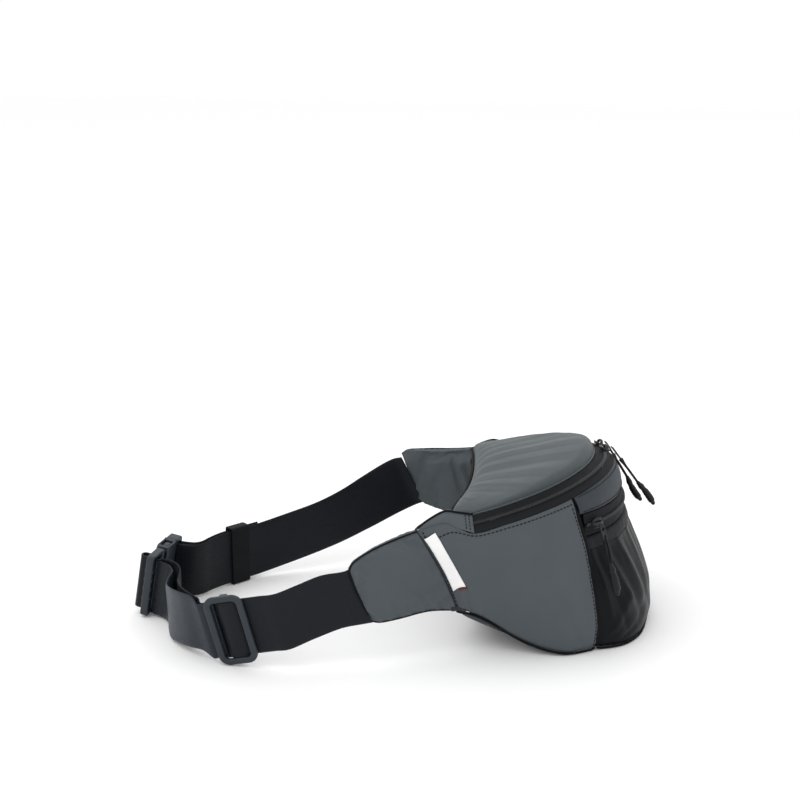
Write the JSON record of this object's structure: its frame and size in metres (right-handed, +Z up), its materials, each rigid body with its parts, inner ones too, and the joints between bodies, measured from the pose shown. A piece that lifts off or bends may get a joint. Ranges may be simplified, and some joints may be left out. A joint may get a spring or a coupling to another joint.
{
  "type": "waist pack",
  "caption": "Soft zipped waist pack with padded wings, a front pocket and a webbing belt with adjuster, keeper and side-release buckle.",
  "frame": {"origin": "on the surface the bag stands on, at the middle of the bag's flat bottom", "axes": "+Z up, -Y to the bag's front pocket, +Y to the belt's buckle, X across the bag; the adjuster is on the -X side"},
  "size_m": [0.3047, 0.4381, 0.1568],
  "materials": {
    "grey_nylon": "matte coated nylon, soft",
    "top_nylon": "matte coated nylon, soft",
    "black_nylon": "fine woven nylon with a slight sheen",
    "webbing": "ribbed polyester webbing, faint sheen",
    "zip_tape": "herringbone zip tape",
    "zip_coil": "dark nylon coil",
    "zip_metal": "black painted die-cast",
    "black_cord": "braided cord",
    "moulded_end": "matte moulded grip",
    "black_plastic": "satin acetal",
    "label_white": "satin woven label, blank",
    "label_red": "dark red woven tab"
  },
  "bodies": {
    "root": {"side_panel_left": "grey_nylon", "side_panel_right": "grey_nylon", "front_strip": "grey_nylon", "front_pocket_panel": "black_nylon", "pocket_back_wall": "black_nylon", "bottom_panel": "grey_nylon", "back_panel": "grey_nylon", "wing_left": "grey_nylon", "wing_right": "grey_nylon", "main_zip_tape_lower": "zip_tape", "main_zip_coil_lower": "zip_coil", "pocket_zip_tape_lower": "zip_tape", "pocket_zip_coil_lower": "zip_coil", "pocket_zip_coil_upper": "zip_coil", "pocket_zip_tape_upper": "zip_tape", "main_zip_end_left": "grey_nylon", "main_zip_end_right": "grey_nylon", "label": "label_white", "label_tab": "label_red", "strap_left": "webbing", "strap_left_outer": "webbing", "strap_return": "webbing", "strap_right": "webbing", "strap_right_tail": "webbing", "buckle_female": "black_plastic", "strap_loop_female": "webbing"},
    "lid": {"top_panel": "top_nylon", "main_zip_tape_upper": "zip_tape", "main_zip_coil_upper": "zip_coil"},
    "main_slider_left_body": {"main_slider_left": "zip_metal"},
    "main_pull_left": {"main_pull_tab_left": "zip_metal", "main_pull_cord_left_a": "black_cord", "main_pull_cord_left_b": "black_cord", "main_pull_end_left": "moulded_end"},
    "main_slider_right_body": {"main_slider_right": "zip_metal"},
    "main_pull_right": {"main_pull_tab_right": "zip_metal", "main_pull_cord_right_a": "black_cord", "main_pull_cord_right_b": "black_cord", "main_pull_end_right": "moulded_end"},
    "pocket_slider_body": {"pocket_slider": "zip_metal"},
    "pocket_pull": {"pocket_pull_tab": "zip_metal", "pocket_pull_cord_a": "black_cord", "pocket_pull_cord_b": "black_cord", "pocket_pull_end": "moulded_end"},
    "adjuster": {"strap_adjuster": "black_plastic", "strap_return_sewn_end": "webbing"},
    "keeper": {"strap_keeper": "webbing"},
    "buckle_male_half": {"buckle_male": "black_plastic", "strap_loop_male": "webbing"},
    "prong_lower": {"buckle_prong_lower": "black_plastic"},
    "prong_upper": {"buckle_prong_upper": "black_plastic"}
  },
  "joints": [
    {"name": "main_zip_open", "type": "hinge", "parent": "root", "child": "main_slider_left_body", "pos_m": [0, 0.096, 0.1066], "axis": [0, -0.2955, -0.9553], "range_deg": [0, 94]},
    {"name": "main_zip_open_right", "type": "hinge", "parent": "root", "child": "main_slider_right_body", "pos_m": [0, 0.096, 0.1066], "axis": [0, 0.2955, 0.9553], "range_deg": [0, 53]},
    {"name": "lid_open", "type": "hinge", "parent": "root", "child": "lid", "pos_m": [-0.0045, 0.118, 0.118], "axis": [-0.9929, -0.1168, 0.0212], "range_deg": [0, 29], "deforming": ["main_zip_tape_upper", "main_zip_coil_upper"]},
    {"name": "main_pull_left_swing", "type": "hinge", "parent": "main_slider_left_body", "child": "main_pull_left", "pos_m": [0.02976, -0.00806, 0.14609], "axis": [0.9659, 0.2473, -0.0765], "range_deg": [-60, 8]},
    {"name": "main_pull_right_swing", "type": "hinge", "parent": "main_slider_right_body", "child": "main_pull_right", "pos_m": [0.05221, 0.00017, 0.14354], "axis": [0.891, 0.4337, -0.1342], "range_deg": [-60, 8]},
    {"name": "pocket_zip_travel", "type": "hinge", "parent": "root", "child": "pocket_slider_body", "pos_m": [0, 0.093, 0.1085], "axis": [0, 0, 1], "range_deg": [0, 62]},
    {"name": "pocket_pull_swing", "type": "hinge", "parent": "pocket_slider_body", "child": "pocket_pull", "pos_m": [-0.06296, -0.01178, 0.10811], "axis": [0.8572, -0.515, 0], "range_deg": [-60, 0]},
    {"name": "adjuster_slide", "type": "slide", "parent": "root", "child": "adjuster", "axis": [0.02, -0.9739, 0.226], "range_m": [0, 0.018]},
    {"name": "keeper_slide", "type": "slide", "parent": "root", "child": "keeper", "axis": [0.8304, -0.5572, 0], "range_m": [-0.008, 0.008]},
    {"name": "buckle_release", "type": "slide", "parent": "root", "child": "buckle_male_half", "axis": [-1, 0, 0], "range_m": [0, 0.045], "deforming": ["buckle_prong_lower", "buckle_prong_upper"]},
    {"name": "prong_lower_squeeze", "type": "hinge", "parent": "buckle_male_half", "child": "prong_lower", "pos_m": [-0.0786, 0.37789, 0.0102], "axis": [0, -0.9848, -0.1736], "range_deg": [0, 9], "stiffness_Nm_per_rad": 0.05},
    {"name": "prong_upper_squeeze", "type": "hinge", "parent": "buckle_male_half", "child": "prong_upper", "pos_m": [-0.0786, 0.37111, 0.0486], "axis": [0, 0.9848, 0.1736], "range_deg": [0, 9], "stiffness_Nm_per_rad": 0.05}
  ],
  "couplings": [
    {"joint": "main_zip_open_right", "follows": "main_zip_open", "ratio": 0.55319},
    {"joint": "lid_open", "follows": "main_zip_open", "ratio": 0.29787}
  ]
}
